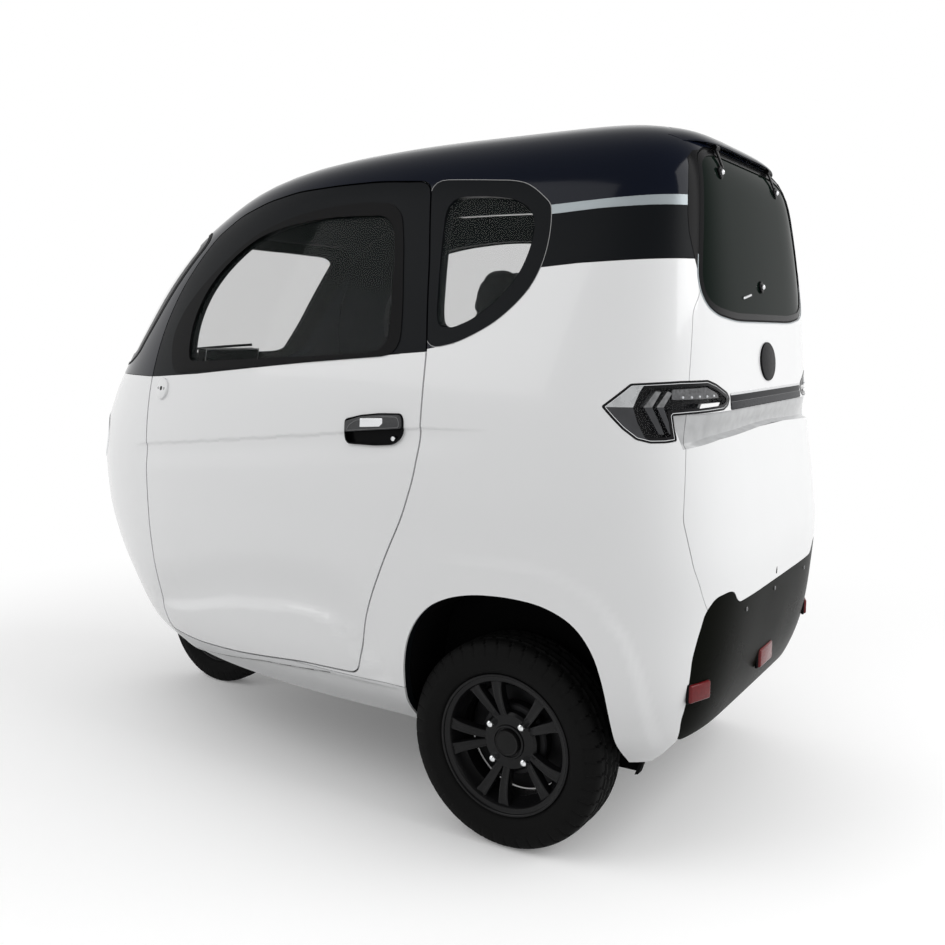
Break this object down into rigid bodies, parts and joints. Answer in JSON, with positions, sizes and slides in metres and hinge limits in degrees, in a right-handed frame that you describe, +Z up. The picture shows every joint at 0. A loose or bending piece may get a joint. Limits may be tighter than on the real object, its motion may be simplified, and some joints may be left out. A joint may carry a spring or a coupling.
{
  "type": "enclosed electric tricycle",
  "caption": "Enclosed electric tricycle with a steered front wheel, driven rear axle, hinged side doors, lifting rear glass, full-width tail light bar and dark roof.",
  "frame": {"origin": "on the ground, under the middle of the vehicle's box", "axes": "+X to the vehicle's left side, +Y to its rear, +Z up; the front faces -Y"},
  "size_m": [1.166, 2.23, 1.68],
  "materials": {
    "white_paint": "glossy white paint",
    "navy_paint": "glossy navy-black paint",
    "black_plastic": "matte black moulded plastic",
    "grey_plastic": "matte dark grey moulded plastic",
    "tinted_glass": "dark tinted glass",
    "smoked_lens": "glossy smoked grey lens over silver reflectors",
    "clear_lens": "glossy clear lens over a silver reflector",
    "frame_steel": "satin black painted steel",
    "bright_steel": "bright plated steel",
    "black_alloy": "semi-gloss black cast alloy",
    "tyre_rubber": "matte black tyre rubber",
    "seat_fabric": "dark grey woven fabric"
  },
  "bodies": {
    "body": {"chassis_frame": "frame_steel", "floor_pan": "grey_plastic", "front_cowl": "white_paint", "windshield": "tinted_glass", "roof_shell": "navy_paint", "quarter_panel_left": "white_paint", "quarter_panel_right": "white_paint", "quarter_glass_left": "tinted_glass", "quarter_glass_right": "tinted_glass", "rear_panel": "white_paint", "rear_bumper": "black_plastic", "sill_left": "grey_plastic", "sill_right": "grey_plastic", "tail_lamp_left": "smoked_lens", "tail_lamp_right": "smoked_lens", "tail_light_bar": "smoked_lens", "head_lamp_left": "clear_lens", "head_lamp_right": "clear_lens", "dashboard": "grey_plastic", "battery_box": "grey_plastic", "seat_cushion": "seat_fabric", "seat_back": "seat_fabric", "bench_cushion": "seat_fabric", "bench_back": "seat_fabric", "rear_axle": "frame_steel", "rear_damper_left": "frame_steel", "rear_damper_right": "frame_steel"},
    "door_left": {"door_left_shell": "white_paint", "door_left_glass": "tinted_glass", "door_left_handle": "black_plastic"},
    "door_right": {"door_right_shell": "white_paint", "door_right_glass": "tinted_glass", "door_right_handle": "black_plastic"},
    "rear_hatch": {"rear_glass": "tinted_glass", "hatch_hinge_left": "black_plastic", "hatch_hinge_right": "black_plastic", "hatch_lock": "bright_steel"},
    "steering": {"steering_fork": "frame_steel", "handlebar": "black_plastic"},
    "front_wheel": {"front_tyre": "tyre_rubber", "front_rim": "black_alloy"},
    "rear_wheel_left": {"rear_left_tyre": "tyre_rubber", "rear_left_rim": "black_alloy"},
    "rear_wheel_right": {"rear_right_tyre": "tyre_rubber", "rear_right_rim": "black_alloy"}
  },
  "joints": [
    {"name": "steering_turn", "type": "hinge", "parent": "body", "child": "steering", "pos_m": [0, -0.44993, 0.98], "axis": [0, 0.3746, 0.9272], "range_deg": [-35, 35]},
    {"name": "front_wheel_spin", "type": "hinge", "parent": "steering", "child": "front_wheel", "pos_m": [0, -0.77492, 0.216], "axis": [1, 0, 0], "continuous": true},
    {"name": "rear_wheel_left_spin", "type": "hinge", "parent": "body", "child": "rear_wheel_left", "pos_m": [0.476, 0.64001, 0.247], "axis": [1, 0, 0], "continuous": true},
    {"name": "rear_wheel_right_spin", "type": "hinge", "parent": "body", "child": "rear_wheel_right", "pos_m": [-0.476, 0.64001, 0.247], "axis": [1, 0, 0], "continuous": true},
    {"name": "door_left_hinge", "type": "hinge", "parent": "body", "child": "door_left", "pos_m": [0.47851, -0.57834, 0], "axis": [0, 0, -1], "range_deg": [0, 65]},
    {"name": "door_right_hinge", "type": "hinge", "parent": "body", "child": "door_right", "pos_m": [-0.47851, -0.57834, 0], "axis": [0, 0, 1], "range_deg": [0, 65]},
    {"name": "rear_hatch_hinge", "type": "hinge", "parent": "body", "child": "rear_hatch", "pos_m": [0, 0.9865, 1.58892], "axis": [1, 0, 0], "range_deg": [0, 75]}
  ]
}
